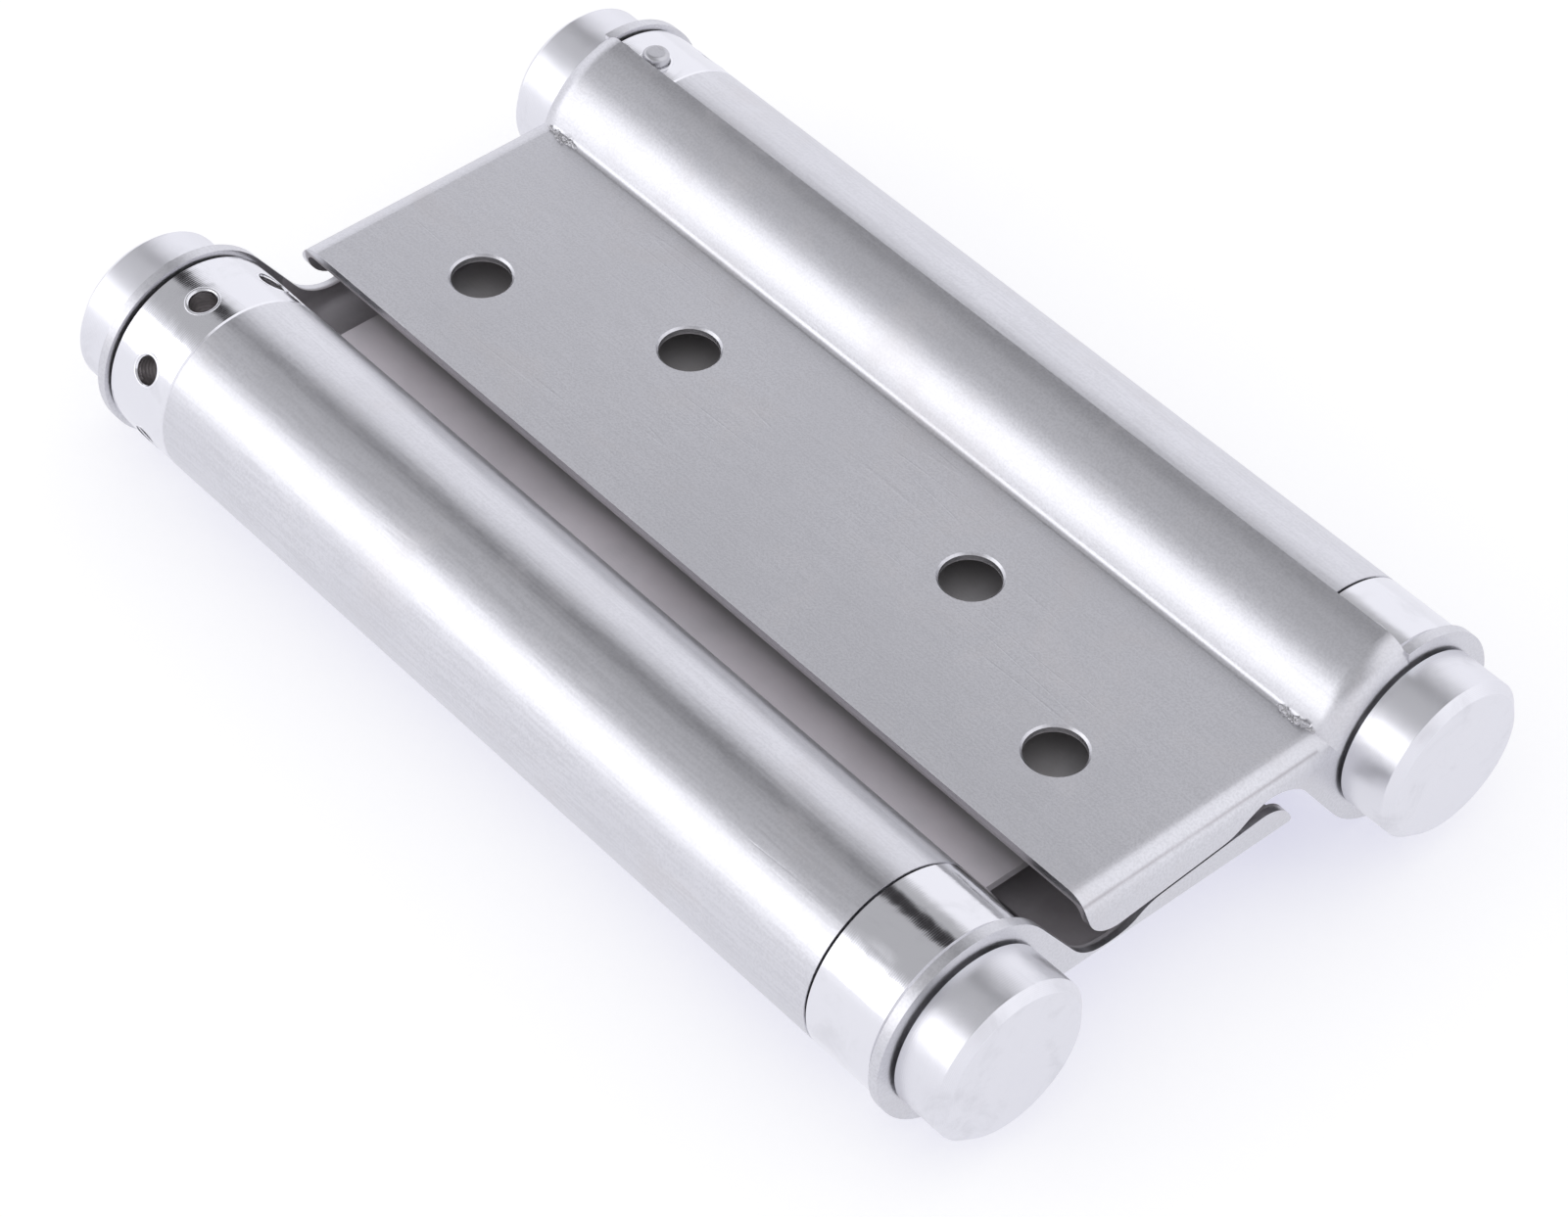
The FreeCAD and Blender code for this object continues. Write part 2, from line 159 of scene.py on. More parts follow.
# %% [markdown]
# ## The studio
#
# Bare metal has no look of its own: it shows the room. The photograph was taken in a white light tent with
# an open, darker top, and a long soft lamp low at the left. In the polished collars that room can be read
# directly: white low all round, a bright band at the left, grey overhead but for a white patch at the front
# right, and a dark slot high at the back. A narrow slot is worth its few nodes: the polished collars show
# it as a dark patch, while the satin sheet is too rough to show it at all, and both are so in the
# photograph. The world gives each kind of ray its own answer. The camera sees plain white, mirror rays see
# the tent, and the light that falls on pale, matt things stays at a plain level.

# %% Paint the light tent
WHITE = (1.0, 1.0, 1.0, 1.0)
TENT_WALL = (0.975, 0.975, 1.04, 1.0)
TENT_PATCH = (1.06, 1.06, 1.12, 1.0)
TENT_TOP = (0.475, 0.475, 0.50, 1.0)
TENT_SLOT = (0.03, 0.028, 0.031, 1.0)
TOP_EDGE = (0.59, 0.73)
FRONT_SPREAD = (-0.20, 0.20)
FRONT_DROP = 0.16
SLOT_ALONG = (-0.949, 0.0, 0.314)
SLOT_HALF_LENGTH = 0.16
SLOT_HALF_WIDTH = 0.165
SLOT_DEPTH = 0.525
SLOT_EDGE = (0.65, 1.20)
SLOT_FOOT = (0.3, 0.5)
PATCH_DIRECTION = (0.48, -0.46, 0.75)
PATCH_EDGE = (0.68, 0.88)
FILL = (0.88, 0.88, 1.04 * 0.88, 1.0)

world = bpy.data.worlds.new("light tent")
bpy.context.scene.world = world
world.use_nodes = True
tent = world.node_tree
tent.nodes.clear()
direction = add(tent, "TexCoord").outputs["Generated"]
sides = add(tent, "SeparateXYZ", {0: direction})
in_front = smooth_range(tent, sides.outputs["Y"], *FRONT_SPREAD, FRONT_DROP, 0.0)
overhead = smooth_range(tent, maths(tent, "ADD", sides.outputs["Z"], in_front), *TOP_EDGE)
top = blend_colour(tent, overhead, TENT_WALL, TENT_TOP)
patch = add(tent, "VectorMath", {0: direction, 1: PATCH_DIRECTION}, operation="DOT_PRODUCT").outputs["Value"]
patch = smooth_range(tent, patch, *PATCH_EDGE)
patched = blend_colour(tent, patch, top, TENT_PATCH)

along_slot = add(tent, "VectorMath", {0: direction, 1: SLOT_ALONG}, operation="DOT_PRODUCT").outputs["Value"]
along_slot = maths(tent, "DIVIDE", along_slot, SLOT_HALF_LENGTH)
across_slot = maths(tent, "DIVIDE", maths(tent, "SUBTRACT", sides.outputs["Y"], SLOT_DEPTH), SLOT_HALF_WIDTH)
in_slot = smooth_range(tent, distance_of(tent, along_slot, across_slot), *SLOT_EDGE, 1.0, 0.0)
in_slot = maths(tent, "MULTIPLY", in_slot, smooth_range(tent, sides.outputs["Z"], *SLOT_FOOT))
walls = blend_colour(tent, in_slot, patched, TENT_SLOT)

path = add(tent, "LightPath")
through = path.outputs["Is Transmission Ray"]
mirrored = maths(tent, "ADD", path.outputs["Is Glossy Ray"], through, clamp=True)
lit = blend_colour(tent, mirrored, FILL, walls)
seen = blend_colour(tent, path.outputs["Is Camera Ray"], lit, WHITE)
backdrop = add(tent, "Background", {"Color": seen, "Strength": 1.0})
tent_output = add(tent, "OutputWorld")
tent.links.new(backdrop.outputs[0], tent_output.inputs[0])
print("light tent: grey above", round(math.degrees(math.asin(sum(TOP_EDGE) / 2))), "degrees, one dark slot")


# %% [markdown]
# ## The lamp
#
# One long soft lamp stands low at the back left. It draws the white band that runs along the left barrel
# and up the leaf's wing. It is large, so its shadow is soft, and weak, because in a mirror its light adds
# to the wall behind it. The white patch of the tent does the rest: the pressed bends and the caps' chamfers
# catch it as bright lines.

# %% Hang the soft lamp
def soft_lamp(name, towards_lamp, distance, width, height, radiance):
    """A rectangular lamp that faces the hinge. Its power is radiance times pi times its area."""
    data = bpy.data.lights.new(name, "AREA")
    data.shape = "RECTANGLE"
    data.size = width
    data.size_y = height
    data.energy = radiance * math.pi * width * height
    lamp = bpy.data.objects.new(name, data)
    facing = Vector(towards_lamp).normalized()
    lamp.location = facing * distance
    lamp.rotation_euler = facing.to_track_quat("Z", "Y").to_euler()
    bpy.context.scene.collection.objects.link(lamp)
    print(name, "power", round(data.energy, 2), "W")
    return lamp


soft_lamp("long lamp, left", (-0.78, 0.40, 0.36), distance=1.3, width=1.5, height=0.75, radiance=0.65)

# %% [markdown]
# ## The floor
#
# The hinge lies on a plain white sheet. Seen by the camera the sheet is almost pure white and keeps only a
# faint shadow, as in the photograph. It gives off most of that white itself, for the camera alone, and the
# rest is lit. The part that is lit is a little warm for the camera, so what is missing in a shadow is warm,
# and the shadow is cool.

# %% Lay the floor
FLOOR_WHITE = (0.93, 0.93, 0.94, 1.0)
FLOOR_PALE = (0.95, 0.95, 0.955, 1.0)
MOTTLE_SCALE = 9.0
FLOOR_HALF = 4.0
FLOOR_WARM = (0.95, 0.95, 0.62, 1.0)
FLOOR_GLOW = 0.30
GLOW_COLOUR = (1.43, 1.43, 2.09, 1.0)
MIRROR_GLOW = 0.80
MIRROR_COLOUR = (0.93, 0.93, 0.995, 1.0)

floor_height = cad_box[0].z
floor_mesh = bpy.data.meshes.new("floor")
floor_corners = [(x, y, floor_height) for x, y in ((-1, -1), (1, -1), (1, 1), (-1, 1))]
floor_corners = [(x * FLOOR_HALF, y * FLOOR_HALF, z) for x, y, z in floor_corners]
floor_mesh.from_pydata(floor_corners, [], [(0, 1, 2, 3)])
floor = bpy.data.objects.new("floor", floor_mesh)
bpy.context.scene.collection.objects.link(floor)

floor_material = bpy.data.materials.new("white sheet")
floor_material.use_nodes = True
sheet_tree = floor_material.node_tree
sheet_tree.nodes.clear()
on_sheet = add(sheet_tree, "TexCoord").outputs["Object"]
paper = blend_colour(sheet_tree, noise(sheet_tree, on_sheet, MOTTLE_SCALE), FLOOR_WHITE, FLOOR_PALE)
sheet_path = add(sheet_tree, "LightPath")
to_camera = sheet_path.outputs["Is Camera Ray"]
warmed = blend_colour(sheet_tree, to_camera, paper, FLOOR_WARM)
lit_sheet = add(sheet_tree, "BsdfDiffuse", {"Color": warmed})
glow_colour = blend_colour(sheet_tree, to_camera, MIRROR_COLOUR, GLOW_COLOUR)
glow = add(sheet_tree, "Emission", {"Color": glow_colour, "Strength": 1.0})
shown_to_camera = maths(sheet_tree, "MULTIPLY", to_camera, FLOOR_GLOW)
shown_to_mirrors = maths(sheet_tree, "MULTIPLY", sheet_path.outputs["Is Glossy Ray"], MIRROR_GLOW)
glow_share = maths(sheet_tree, "ADD", shown_to_camera, shown_to_mirrors)
sheet_mix = add(sheet_tree, "MixShader", {0: glow_share, 1: lit_sheet.outputs[0], 2: glow.outputs[0]})
sheet_output = add(sheet_tree, "OutputMaterial")
sheet_tree.links.new(sheet_mix.outputs[0], sheet_output.inputs["Surface"])
floor_mesh.materials.append(floor_material)
print("floor at", round(floor_height * 1000, 2), "mm")

# %% [markdown]
# ## Shared effect: the satin grain
#
# The sheet was tumbled or blasted before it was pressed, which leaves a fine frosted grain with no
# direction, a few longer rolling lines, and slow changes of tone across the plate. Real grain is finer than
# a pixel here, so the group mixes two sizes of noise for the frosting with one that is stretched along the
# sheet's rolling direction.

# %% Build the satin grain group
ROLLED_OUT = (1.0, 0.06, 1.0)
CLOUD_SCALE = 55.0


def build_satin_grain():
    """Height is fine noise plus lines stretched along Y. Tone is slow cloudy variation, centred on a half."""
    tree, start, end = new_group(
        "satin grain",
        [("Position", "Vector", None), ("Grain Size", "Float", None), ("Line Share", "Float", None)],
        [("Height", "Float"), ("Tone", "Float")],
    )
    position = start.outputs["Position"]
    fineness = maths(tree, "DIVIDE", 1.0, start.outputs["Grain Size"])
    frost = noise(tree, position, fineness, detail=3.0, roughness=0.6)
    stretched = add(tree, "Mapping", {"Vector": position, "Scale": ROLLED_OUT})
    lines = noise(tree, stretched.outputs[0], fineness)
    height = add(tree, "Mix", {"Factor": start.outputs["Line Share"], "A": frost, "B": lines})
    tree.links.new(height.outputs["Result"], end.inputs["Height"])
    cloud = noise(tree, position, CLOUD_SCALE, detail=4.0, roughness=0.55)
    tree.links.new(cloud, end.inputs["Tone"])
    return tree


satin_grain = build_satin_grain()
print("group:", satin_grain.name)


# %% [markdown]
# ## Shared effect: handling marks
#
# Metal that has been picked up, packed and screwed shut carries faint smudges and short hairline scratches.
# Smudges are blurred patches of noise, pushed until only their peaks remain. A hairline scratch is the thin
# line where a stretched noise crosses its middle value, kept only in a few places.

# %% Build the handling marks group
SMUDGE_PEAKS = (0.50, 0.72)
SCRATCH_TURN = (0.3, 0.2, 0.5)
DRAWN_OUT = (1.0, 0.05, 1.0)
SCRATCH_SCALE = 260.0
HAIRLINE_EDGE = 0.012
PLACE_SCALE = 90.0
SCRATCHED_PLACES = (0.56, 0.66)


def build_handling_marks():
    """Smudge is a noise's peaks. Scratch is the line where a stretched noise is a half, in some places."""
    tree, start, end = new_group(
        "handling marks",
        [("Position", "Vector", None), ("Smudge Size", "Float", 0.012)],
        [("Smudge", "Float"), ("Scratch", "Float")],
    )
    position = start.outputs["Position"]
    patchiness = maths(tree, "DIVIDE", 1.0, start.outputs["Smudge Size"])
    patches = noise(tree, position, patchiness, detail=5.0, roughness=0.65, distortion=0.6)
    turned = add(tree, "Mapping", {"Vector": position, "Rotation": SCRATCH_TURN, "Scale": DRAWN_OUT})
    streaks = noise(tree, turned.outputs[0], SCRATCH_SCALE, detail=1.0)
    apart = maths(tree, "ABSOLUTE", maths(tree, "SUBTRACT", streaks, 0.5))
    hairline = smooth_range(tree, apart, 0.0, HAIRLINE_EDGE, 1.0, 0.0)
    kept = smooth_range(tree, noise(tree, position, PLACE_SCALE), *SCRATCHED_PLACES)
    tree.links.new(smooth_range(tree, patches, *SMUDGE_PEAKS), end.inputs["Smudge"])
    tree.links.new(maths(tree, "MULTIPLY", hairline, kept), end.inputs["Scratch"])
    return tree


handling_marks = build_handling_marks()
print("group:", handling_marks.name)


# %% [markdown]
# ## Shared effect: turning rings
#
# Collars, caps and spindles come off a lathe. The tool leaves rings round the part: along the length on the
# outside, and by the distance from the axis on a flat end. A wave of the position along the barrel draws
# the first kind and a wave of the radius the second. The steel under the plating is also slightly lumpy,
# which bends its mirror images.

# %% Build the turning rings group
MM = 0.001
AXIS_X = 30.5 * MM
WANDER_SCALE = 140.0
RING_WANDER = 0.1 * MM
LUMP_SCALE = 330.0


def build_turning_rings():
    """Rings is a sine of (y + radius) / pitch, a little uneven. Lumps is a noise a few millimetres wide."""
    tree, start, end = new_group(
        "turning rings",
        [("Position", "Vector", None), ("Pitch", "Float", 0.25 * MM)],
        [("Rings", "Float"), ("Lumps", "Float"), ("Radius", "Float")],
    )
    position = start.outputs["Position"]
    parts = add(tree, "SeparateXYZ", {0: position})
    across = maths(tree, "SUBTRACT", maths(tree, "ABSOLUTE", parts.outputs["X"]), AXIS_X)
    radius = distance_of(tree, across, parts.outputs["Z"])
    run = maths(tree, "ADD", parts.outputs["Y"], radius)
    run = add_share(tree, run, noise(tree, position, WANDER_SCALE), RING_WANDER)
    rounds = maths(tree, "DIVIDE", run, start.outputs["Pitch"])
    wave = maths(tree, "SINE", maths(tree, "MULTIPLY", rounds, 2 * math.pi))
    tree.links.new(wave, end.inputs["Rings"])
    tree.links.new(noise(tree, position, LUMP_SCALE, detail=2.5), end.inputs["Lumps"])
    tree.links.new(radius, end.inputs["Radius"])
    return tree


turning_rings = build_turning_rings()
print("group:", turning_rings.name)


# %% [markdown]
# ## Shared effect: the dull film between the sheets
#
# Nobody wipes the faces that lie against each other. In the photograph the strip of web in the gap, and
# what shows through the screw holes, are a dull brownish grey that scatters light, while the outside is
# clean metal. The film covers a block in the middle of the hinge, whose half width and half height come
# from the finish, and its edge is cloudy. A second mask marks where a leaf lies over it: under the leaves,
# where only the screw holes let one look, the finishes paint shade by making the film darker still.

# %% Build the dull film group
FILM_HALF_LENGTH = 62.2 * MM
FILM_SCALE = 160.0
FILM_WANDER = 1.2 * MM
FILM_EDGE = (-0.3 * MM, 0.2 * MM)
FILM_PATCHES = (0.30, 0.60)
THINNEST_FILM = 0.75
LEAF_COVER = (12.2 * MM, 14.2 * MM)


def build_dull_film():
    """Film is one where |x|, |y| and |z| are inside the block, times a noise. Covered is one under a leaf,
    where the finishes paint shade.
    """
    tree, start, end = new_group(
        "dull film",
        [("Position", "Vector", None), ("Half Width", "Float", None), ("Half Height", "Float", None)],
        [("Film", "Float"), ("Covered", "Float")],
    )
    position = start.outputs["Position"]
    parts = add(tree, "SeparateXYZ", {0: position})
    cloud = noise(tree, position, FILM_SCALE, detail=4.0, roughness=0.6)
    wander = maths(tree, "MULTIPLY", maths(tree, "SUBTRACT", cloud, 0.5), FILM_WANDER)
    aside = maths(tree, "ADD", maths(tree, "ABSOLUTE", parts.outputs["X"]), wander)
    beside = maths(tree, "SUBTRACT", aside, start.outputs["Half Width"])
    beyond = maths(tree, "SUBTRACT", maths(tree, "ABSOLUTE", parts.outputs["Y"]), FILM_HALF_LENGTH)
    above = maths(tree, "SUBTRACT", maths(tree, "ABSOLUTE", parts.outputs["Z"]), start.outputs["Half Height"])
    outside = maths(tree, "MAXIMUM", maths(tree, "MAXIMUM", beside, beyond), above)
    inside = smooth_range(tree, outside, *FILM_EDGE, 1.0, 0.0)
    thickness = smooth_range(tree, cloud, *FILM_PATCHES, THINNEST_FILM, 1.0)
    tree.links.new(maths(tree, "MULTIPLY", inside, thickness), end.inputs["Film"])
    tree.links.new(smooth_range(tree, aside, *LEAF_COVER, 1.0, 0.0), end.inputs["Covered"])
    return tree


dull_film = build_dull_film()
print("group:", dull_film.name)


# %% [markdown]
# ## Starting a metal finish
#
# Every finish below starts the same way: an empty material with one Principled shader and the Object
# coordinates of the piece. A function returns these three, and each finish then adds what makes it its own.

# %% Start a finish
def start_finish(name, metallic, roughness):
    """A material with one Principled shader. Returns the material, its tree, the shader and the position."""
    material = bpy.data.materials.new(name)
    material.use_nodes = True
    tree = material.node_tree
    tree.nodes.clear()
    shader = add(tree, "BsdfPrincipled", {"Metallic": metallic, "Roughness": roughness})
    output = add(tree, "OutputMaterial")
    tree.links.new(shader.outputs[0], output.inputs["Surface"])
    position = add(tree, "TexCoord").outputs["Object"]
    return material, tree, shader, position


def dimmed(colour, share):
    """The same colour with less light: red, green and blue times share."""
    return tuple(share * part for part in colour[:3]) + (1.0,)


def dress(names, material):
    """Give CAD nodes one finish, on every face."""
    for name in names:
        mesh = nodes[name].data
        mesh.materials.clear()
        mesh.materials.append(material)
    print(material.name, "on", ", ".join(names))


# %% [markdown]
# ## Satin stainless: the leaves and the web
#
# The photograph shows a soft grey sheet with a faint cool tint, a fine frosted grain, and broad blurred
# highlights. The colour is near what bare stainless reflects, the roughness is about a third, and a very
# low bump from the grain breaks up the highlights. Smudges raise the roughness a little and tint the metal
# faintly brown where it was held. Between the sheets the dull film takes over: it is browner, rougher and
# only partly metallic.
# On the leaves, and on the web under them, the film is darker as well: that is painted shade between the
# sheets.

# %% Mix the satin stainless
BLACK = (0.0, 0.0, 0.0, 1.0)
LEAF_STEEL = (0.835, 0.835, 0.86, 1.0)
WEB_STEEL = (0.85, 0.85, 0.875, 1.0)
WARM_SMUDGE = (0.70, 0.665, 0.65, 1.0)
WEB_FILM = (0.80, 0.75, 0.785, 1.0)
# Darker film on the web under the leaves, and on the leaves' inner faces: painted shade between the sheets.
SHADED_COVERED_FILM = (0.50, 0.485, 0.485, 1.0)
SHADED_LEAF_FILM = (0.46, 0.43, 0.45, 1.0)
FILM_METALLIC = 0.25
LEAF_BLOCK = (18.0 * MM, 4.2 * MM)
WEB_BLOCK = (19.2 * MM, 3.0 * MM)
CLOUDY_TONE = (0.35, 0.65)
CLOUD_SHADE = 0.93
SPECKLED_GRAIN = (0.38, 0.60)
SPECKLE_SHADE = 0.80
SPECKLE_TOP = 0.5
SMUDGE_TINT = 0.22
DIRT_SHADE = 0.36
GRAIN_ROUGHNESS = 0.10
SMUDGE_ROUGHNESS = 0.05
FILM_ROUGHNESS = 0.15
SCRATCH_DEPTH = 0.35
GRAIN_STRENGTH = 0.35
GRAIN_RELIEF = 0.04 * MM


def satin_stainless(name, colour, roughness, grain_size, line_share, film_block, film_colour, covered_shade_colour):
    """Colour from tone, smudges, film and painted shade between the sheets. Roughness from grain, smudges and
    film. Bump from the grain.
    """
    material, tree, shader, position = start_finish(name, 1.0, roughness)
    block = {"Position": position, "Half Width": film_block[0], "Half Height": film_block[1]}
    films = place_group(tree, dull_film, block)
    film = films.outputs["Film"]
    tree.links.new(smooth_range(tree, film, 0.0, 1.0, 1.0, FILM_METALLIC), shader.inputs["Metallic"])
    frosting = {"Position": position, "Grain Size": grain_size, "Line Share": line_share}
    grain = place_group(tree, satin_grain, frosting)
    height, tone = grain.outputs["Height"], grain.outputs["Tone"]
    marks = place_group(tree, handling_marks, {"Position": position})
    smudge = marks.outputs["Smudge"]
    toned = blend_colour(tree, smooth_range(tree, tone, *CLOUDY_TONE), dimmed(colour, CLOUD_SHADE), colour)
    raised = smooth_range(tree, height, *SPECKLED_GRAIN, 0.0, SPECKLE_TOP)
    speckled = blend_colour(tree, raised, dimmed(colour, SPECKLE_SHADE), toned)
    held = blend_colour(tree, maths(tree, "MULTIPLY", smudge, SMUDGE_TINT), speckled, WARM_SMUDGE)
    # Under a leaf, and on the leaves, the film colour is darker: painted shade.
    film_and_shade = blend_colour(tree, films.outputs["Covered"], film_colour, covered_shade_colour)
    film_and_shade = blend_colour(tree, smooth_range(tree, tone, 0.0, 1.0, DIRT_SHADE, 0.0), film_and_shade, BLACK)
    tree.links.new(blend_colour(tree, film, held, film_and_shade), shader.inputs["Base Color"])
    rough = add_share(tree, roughness - GRAIN_ROUGHNESS / 2, height, GRAIN_ROUGHNESS)
    rough = add_share(tree, rough, smudge, SMUDGE_ROUGHNESS)
    rough = add_share(tree, rough, film, FILM_ROUGHNESS)
    tree.links.new(rough, shader.inputs["Roughness"])
    cut = maths(tree, "MULTIPLY", marks.outputs["Scratch"], SCRATCH_DEPTH)
    relief = maths(tree, "SUBTRACT", height, cut)
    bump = add(tree, "Bump", {"Height": relief, "Strength": GRAIN_STRENGTH, "Distance": GRAIN_RELIEF})
    tree.links.new(bump.outputs[0], shader.inputs["Normal"])
    return material


leaf_finish = satin_stainless(
    "satin stainless, leaf", LEAF_STEEL, 0.32, 0.00028, 0.25, LEAF_BLOCK, SHADED_LEAF_FILM, SHADED_LEAF_FILM
)
web_finish = satin_stainless(
    "satin stainless, web", WEB_STEEL, 0.30, 0.00034, 0.45, WEB_BLOCK, WEB_FILM, SHADED_COVERED_FILM
)
dress(["door_leaf", "jamb_leaf"], leaf_finish)
dress(["centre_web"], web_finish)

# %% [markdown]
# ## Bright plating: the collars and caps
#
# The collars and caps are turned, then plated or polished. They mirror the tent sharply, with ragged edges
# where the surface is lumpy. The rings of the tool show faintly along the reflections. Low roughness, a
# slow bump from the lumps and a very fine one from the rings give both. Down in the bar holes the steel is
# rougher and carries the rings of the drill, and its colour is darker: painted shade in the holes. Everything
# nearer the axis than the collar's skin gets that instead.

# %% Mix the bright plating
BORE_SHADE_STEEL = (0.64, 0.62, 0.62, 1.0)
COLLAR_SKIN = (10.2 * MM, 10.7 * MM)
DRILL_RING = 0.5 * MM
DRILL_RELIEF = 90.0
PLATING_SMUDGE = 6.0 * MM
SMUDGED_SHARE = 0.5
SMUDGED_SHADE = 0.85
SMUDGED_ROUGHNESS = 0.10
SCRATCHED_ROUGHNESS = 0.15
BORED_ROUGHNESS = 0.25
LUMP_RELIEF = 0.2 * MM
RING_RELIEF = 0.01 * MM


def bright_plating(name, colour, roughness, lump_strength, ring_strength, bored=False):
    """Smudges and scratches make it rougher, and two bumps follow. Bored adds rougher, drilled steel inside
    the skin, darker as painted shade.
    """
    material, tree, shader, position = start_finish(name, 1.0, roughness)
    turned = place_group(tree, turning_rings, {"Position": position})
    rings, radius = turned.outputs["Rings"], turned.outputs["Radius"]
    marks = place_group(tree, handling_marks, {"Position": position, "Smudge Size": PLATING_SMUDGE})
    smudge = marks.outputs["Smudge"]
    smudged = maths(tree, "MULTIPLY", smudge, SMUDGED_SHARE)
    plated = blend_colour(tree, smudged, colour, dimmed(colour, SMUDGED_SHADE))
    rough = add_share(tree, roughness, smudge, SMUDGED_ROUGHNESS)
    rough = add_share(tree, rough, marks.outputs["Scratch"], SCRATCHED_ROUGHNESS)
    if bored:
        # Inside the bar holes the darker colour is painted shade; the roughness and the drill rings are the
        # bore's own.
        inside = smooth_range(tree, radius, *COLLAR_SKIN, 1.0, 0.0)
        plated = blend_colour(tree, inside, plated, BORE_SHADE_STEEL)
        rough = add_share(tree, rough, inside, BORED_ROUGHNESS)
        drilled = maths(tree, "SINE", maths(tree, "MULTIPLY", radius, 2 * math.pi / DRILL_RING))
        rings = add_share(tree, rings, maths(tree, "MULTIPLY", drilled, inside), DRILL_RELIEF)
    tree.links.new(plated, shader.inputs["Base Color"])
    tree.links.new(rough, shader.inputs["Roughness"])
    slow = {"Height": turned.outputs["Lumps"], "Strength": lump_strength, "Distance": LUMP_RELIEF}
    lumpy = add(tree, "Bump", slow)
    fine = {"Height": rings, "Strength": ring_strength, "Distance": RING_RELIEF, "Normal": lumpy.outputs[0]}
    ringed = add(tree, "Bump", fine)
    tree.links.new(ringed.outputs[0], shader.inputs["Normal"])
    return material


SIDES = ("door", "jamb")
COLLAR_PLATING = (0.86, 0.86, 0.88, 1.0)
CAP_PLATING = (0.84, 0.84, 0.865, 1.0)
collar_finish = bright_plating("bright plating, collars", COLLAR_PLATING, 0.11, 0.22, 0.08, bored=True)
cap_finish = bright_plating("bright plating, caps", CAP_PLATING, 0.30, 0.25, 0.35)
for side in SIDES:
    dress([side + "_tension_collar", side + "_anchor_collar"], collar_finish)
    dress([side + "_front_cap", side + "_rear_cap"], cap_finish)

# %% [markdown]
# ## Inner steel, spring wire and nylon
#
# The spindle and stop pins are plain turned steel. The spring is darker: hardened wire with an oily film.
# The thrust washers are cut from nylon sheet, pale and a little cloudy. All of these show only in gaps and
# holes.

# %% Mix the inner finishes
PLAIN_STEEL = (0.58, 0.58, 0.60, 1.0)
STAINED_STEEL = (0.42, 0.40, 0.38, 1.0)
DARK_WIRE = (0.20, 0.195, 0.20, 1.0)
PALE_WIRE = (0.36, 0.355, 0.36, 1.0)
STEEL_ROUGHNESS = 0.24
STAIN_ROUGHNESS = 0.14
STAIN_SHARE = 0.6
SPINDLE_PITCH = 0.18 * MM
SPINDLE_SMUDGE = 5.0 * MM
WIRE_ROUGHNESS = 0.42
OIL_GLOSS = 0.22
OIL_PATCH = 4.0 * MM
DRAWN_GRAIN = 0.2 * MM
DRAWN_LINES = 0.7
DULL_NYLON = (0.80, 0.79, 0.75, 1.0)
PALE_NYLON = (0.88, 0.87, 0.84, 1.0)
NYLON_SCALE = 400.0
NYLON_RELIEF = 0.05 * MM


def turned_steel():
    """Plain turned steel: rings in the bump, smudged roughness and a faint stain."""
    material, tree, shader, position = start_finish("plain turned steel", 1.0, STEEL_ROUGHNESS)
    turned = place_group(tree, turning_rings, {"Position": position, "Pitch": SPINDLE_PITCH})
    marks = place_group(tree, handling_marks, {"Position": position, "Smudge Size": SPINDLE_SMUDGE})
    smudge = marks.outputs["Smudge"]
    stain = maths(tree, "MULTIPLY", smudge, STAIN_SHARE)
    tree.links.new(blend_colour(tree, stain, PLAIN_STEEL, STAINED_STEEL), shader.inputs["Base Color"])
    rough = add_share(tree, STEEL_ROUGHNESS, smudge, STAIN_ROUGHNESS)
    tree.links.new(rough, shader.inputs["Roughness"])
    bump = add(tree, "Bump", {"Height": turned.outputs["Rings"], "Strength": 0.4, "Distance": RING_RELIEF})
    tree.links.new(bump.outputs[0], shader.inputs["Normal"])
    return material


def spring_wire():
    """Oiled spring wire: dark metal, drawn lines, and glossier patches where the oil lies."""
    material, tree, shader, position = start_finish("oiled spring wire", 1.0, WIRE_ROUGHNESS)
    drawn = {"Position": position, "Grain Size": DRAWN_GRAIN, "Line Share": DRAWN_LINES}
    grain = place_group(tree, satin_grain, drawn)
    marks = place_group(tree, handling_marks, {"Position": position, "Smudge Size": OIL_PATCH})
    wire = blend_colour(tree, grain.outputs["Tone"], DARK_WIRE, PALE_WIRE)
    tree.links.new(wire, shader.inputs["Base Color"])
    oil = maths(tree, "MULTIPLY", marks.outputs["Smudge"], OIL_GLOSS)
    tree.links.new(maths(tree, "SUBTRACT", WIRE_ROUGHNESS, oil), shader.inputs["Roughness"])
    bump = add(tree, "Bump", {"Height": grain.outputs["Height"], "Strength": 0.4, "Distance": GRAIN_RELIEF})
    tree.links.new(bump.outputs[0], shader.inputs["Normal"])
    return material


def nylon_washer():
    """Cut nylon: pale, slightly uneven, with a soft sheen."""
    material, tree, shader, position = start_finish("nylon washer", 0.0, 0.45)
    cloud = noise(tree, position, NYLON_SCALE, detail=3.0)
    tree.links.new(blend_colour(tree, cloud, DULL_NYLON, PALE_NYLON), shader.inputs["Base Color"])
    bump = add(tree, "Bump", {"Height": cloud, "Strength": 0.2, "Distance": NYLON_RELIEF})
    tree.links.new(bump.outputs[0], shader.inputs["Normal"])
    return material


dress(["door_spindle", "jamb_spindle", "door_stop_pin", "jamb_stop_pin"], turned_steel())
dress(["door_spring", "jamb_spring"], spring_wire())
washers = [name for name in nodes if name.endswith("washer")]
dress(washers, nylon_washer())

